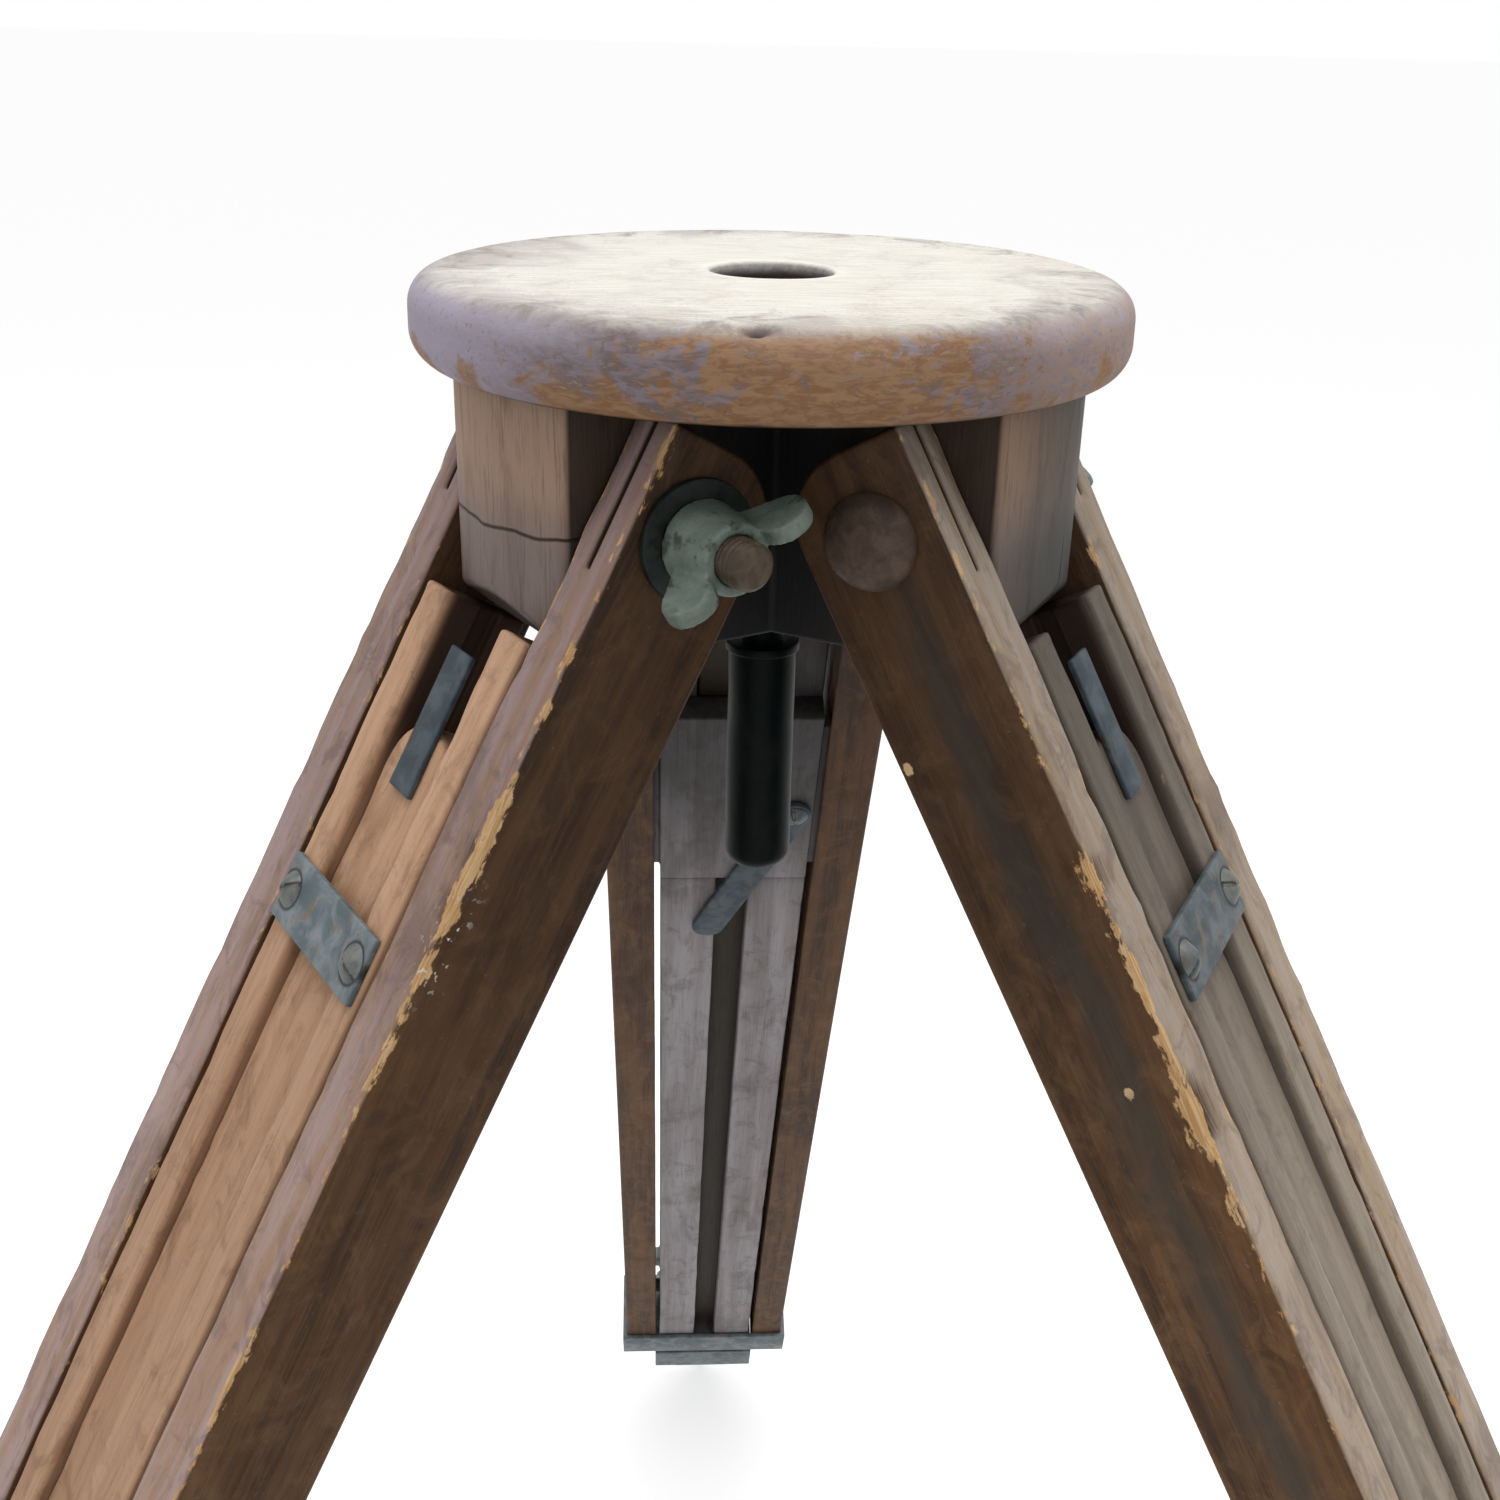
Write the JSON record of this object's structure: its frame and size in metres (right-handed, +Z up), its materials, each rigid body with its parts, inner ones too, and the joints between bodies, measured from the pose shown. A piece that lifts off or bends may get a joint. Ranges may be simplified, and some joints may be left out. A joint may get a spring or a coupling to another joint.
{
  "type": "wooden field tripod",
  "caption": "Standing wooden tripod with a round head, hinged legs that slide out in sections, clamp screws, spiked feet and a tie-down screw for a camera.",
  "frame": {"origin": "centre of the head's top face, on the axis of the tie-down screw", "axes": "+Z up, square to the head's top face; +Y towards the back leg; the other two legs point to 210 and 330 degrees"},
  "size_m": [0.9398, 0.8359, 0.8985],
  "materials": {
    "head_wood": "worn varnish with bare patches",
    "block_wood": "aged brown, waxed",
    "rail_wood": "dark reddish varnish, worn bare along the corners",
    "stile_wood": "thin worn varnish",
    "board_wood": "thin worn varnish",
    "plate_steel": "blue-grey oxidised",
    "cast_grey": "dull grey-green",
    "dark_steel": "dark brown oxidised",
    "black_iron": "black, satin",
    "black_grip": "black, satin",
    "screw_brass": "tarnished"
  },
  "bodies": {
    "head": {"head_disc": "head_wood", "hinge_block": "block_wood", "block_screws": "dark_steel"},
    "screw_lift": {"lift_collar": "dark_steel"},
    "tie_screw": {"tie_down_screw": "black_iron", "screw_grip": "black_grip"},
    "left_upper_leg": {"left_rail_a": "rail_wood", "left_rail_b": "rail_wood", "left_hinge_bolt": "dark_steel", "left_hinge_washer": "dark_steel", "left_rail_clamp": "plate_steel"},
    "left_nut": {"left_wing_nut": "cast_grey"},
    "left_rail_knob": {"left_rail_clamp_knob": "cast_grey"},
    "left_middle_leg": {"left_stile_a": "stile_wood", "left_stile_b": "stile_wood", "left_cross_block": "stile_wood", "left_keeper_plate": "plate_steel", "left_screws": "screw_brass", "left_stile_clamp": "plate_steel"},
    "left_catch": {"left_swing_catch": "plate_steel"},
    "left_stile_knob": {"left_stile_clamp_knob": "cast_grey"},
    "left_lower_leg": {"left_lower_board": "board_wood", "left_catch_strip": "plate_steel", "left_foot": "plate_steel"},
    "right_upper_leg": {"right_rail_a": "rail_wood", "right_rail_b": "rail_wood", "right_hinge_bolt": "dark_steel", "right_hinge_washer": "dark_steel", "right_rail_clamp": "plate_steel"},
    "right_nut": {"right_wing_nut": "cast_grey"},
    "right_rail_knob": {"right_rail_clamp_knob": "cast_grey"},
    "right_middle_leg": {"right_stile_a": "stile_wood", "right_stile_b": "stile_wood", "right_cross_block": "stile_wood", "right_keeper_plate": "plate_steel", "right_screws": "screw_brass", "right_stile_clamp": "plate_steel"},
    "right_catch": {"right_swing_catch": "plate_steel"},
    "right_stile_knob": {"right_stile_clamp_knob": "cast_grey"},
    "right_lower_leg": {"right_lower_board": "board_wood", "right_catch_strip": "plate_steel", "right_foot": "plate_steel"},
    "back_upper_leg": {"back_rail_a": "rail_wood", "back_rail_b": "rail_wood", "back_hinge_bolt": "dark_steel", "back_hinge_washer": "dark_steel", "back_rail_clamp": "plate_steel"},
    "back_nut": {"back_wing_nut": "cast_grey"},
    "back_rail_knob": {"back_rail_clamp_knob": "cast_grey"},
    "back_middle_leg": {"back_stile_a": "stile_wood", "back_stile_b": "stile_wood", "back_cross_block": "stile_wood", "back_keeper_plate": "plate_steel", "back_screws": "screw_brass", "back_stile_clamp": "plate_steel"},
    "back_catch": {"back_swing_catch": "plate_steel"},
    "back_stile_knob": {"back_stile_clamp_knob": "cast_grey"},
    "back_lower_leg": {"back_lower_board": "board_wood", "back_catch_strip": "plate_steel", "back_foot": "plate_steel"}
  },
  "joints": [
    {"name": "tie_screw_lift", "type": "slide", "parent": "head", "child": "screw_lift", "axis": [0, 0, 1], "range_m": [0, 0.012]},
    {"name": "tie_screw_turn", "type": "hinge", "parent": "screw_lift", "child": "tie_screw", "pos_m": [0, 0, -0.1], "axis": [0, 0, 1], "continuous": true},
    {"name": "left_leg_spread", "type": "hinge", "parent": "head", "child": "left_upper_leg", "pos_m": [-0.04936, -0.0285, -0.057], "axis": [-0.5, 0.866, 0], "range_deg": [-29, 20]},
    {"name": "left_nut_turn", "type": "hinge", "parent": "left_upper_leg", "child": "left_nut", "pos_m": [-0.01736, -0.08393, -0.057], "axis": [0.5, -0.866, 0], "continuous": true},
    {"name": "left_rail_knob_turn", "type": "hinge", "parent": "left_upper_leg", "child": "left_rail_knob", "pos_m": [-0.42706, -0.27462, -0.77441], "axis": [-0.7545, -0.4356, 0.4909], "continuous": true},
    {"name": "left_middle_slide", "type": "slide", "parent": "left_upper_leg", "child": "left_middle_leg", "axis": [-0.4251, -0.2455, -0.8712], "range_m": [0, 0.53]},
    {"name": "left_catch_swing", "type": "hinge", "parent": "left_middle_leg", "child": "left_catch", "pos_m": [-0.12594, -0.04581, -0.23284], "axis": [-0.7545, -0.4356, 0.4909], "range_deg": [-21, 25]},
    {"name": "left_stile_knob_turn", "type": "hinge", "parent": "left_middle_leg", "child": "left_stile_knob", "pos_m": [-0.45064, -0.26018, -0.806], "axis": [-0.7545, -0.4356, 0.4909], "continuous": true},
    {"name": "left_lower_slide", "type": "slide", "parent": "left_middle_leg", "child": "left_lower_leg", "axis": [-0.4251, -0.2455, -0.8712], "range_m": [0, 0.56]},
    {"name": "right_leg_spread", "type": "hinge", "parent": "head", "child": "right_upper_leg", "pos_m": [0.04936, -0.0285, -0.057], "axis": [-0.5, -0.866, 0], "range_deg": [-29, 20]},
    {"name": "right_nut_turn", "type": "hinge", "parent": "right_upper_leg", "child": "right_nut", "pos_m": [0.08136, 0.02693, -0.057], "axis": [0.5, 0.866, 0], "continuous": true},
    {"name": "right_rail_knob_turn", "type": "hinge", "parent": "right_upper_leg", "child": "right_rail_knob", "pos_m": [0.45136, -0.23253, -0.77441], "axis": [0.7545, -0.4356, 0.4909], "continuous": true},
    {"name": "right_middle_slide", "type": "slide", "parent": "right_upper_leg", "child": "right_middle_leg", "axis": [0.4251, -0.2455, -0.8712], "range_m": [0, 0.53]},
    {"name": "right_catch_swing", "type": "hinge", "parent": "right_middle_leg", "child": "right_catch", "pos_m": [0.10264, -0.08617, -0.23284], "axis": [0.7545, -0.4356, 0.4909], "range_deg": [-21, 25]},
    {"name": "right_stile_knob_turn", "type": "hinge", "parent": "right_middle_leg", "child": "right_stile_knob", "pos_m": [0.45064, -0.26018, -0.806], "axis": [0.7545, -0.4356, 0.4909], "continuous": true},
    {"name": "right_lower_slide", "type": "slide", "parent": "right_middle_leg", "child": "right_lower_leg", "axis": [0.4251, -0.2455, -0.8712], "range_m": [0, 0.56]},
    {"name": "back_leg_spread", "type": "hinge", "parent": "head", "child": "back_upper_leg", "pos_m": [0, 0.057, -0.057], "axis": [1, 0, 0], "range_deg": [-29, 20]},
    {"name": "back_nut_turn", "type": "hinge", "parent": "back_upper_leg", "child": "back_nut", "pos_m": [-0.064, 0.057, -0.057], "axis": [-1, 0, 0], "continuous": true},
    {"name": "back_rail_knob_turn", "type": "hinge", "parent": "back_upper_leg", "child": "back_rail_knob", "pos_m": [-0.0243, 0.50715, -0.77441], "axis": [0, 0.8712, 0.4909], "continuous": true},
    {"name": "back_middle_slide", "type": "slide", "parent": "back_upper_leg", "child": "back_middle_leg", "axis": [0, 0.4909, -0.8712], "range_m": [0, 0.53]},
    {"name": "back_catch_swing", "type": "hinge", "parent": "back_middle_leg", "child": "back_catch", "pos_m": [0.0233, 0.13198, -0.23284], "axis": [0, 0.8712, 0.4909], "range_deg": [-21, 25]},
    {"name": "back_stile_knob_turn", "type": "hinge", "parent": "back_middle_leg", "child": "back_stile_knob", "pos_m": [0, 0.52036, -0.806], "axis": [0, 0.8712, 0.4909], "continuous": true},
    {"name": "back_lower_slide", "type": "slide", "parent": "back_middle_leg", "child": "back_lower_leg", "axis": [0, 0.4909, -0.8712], "range_m": [0, 0.56]}
  ]
}
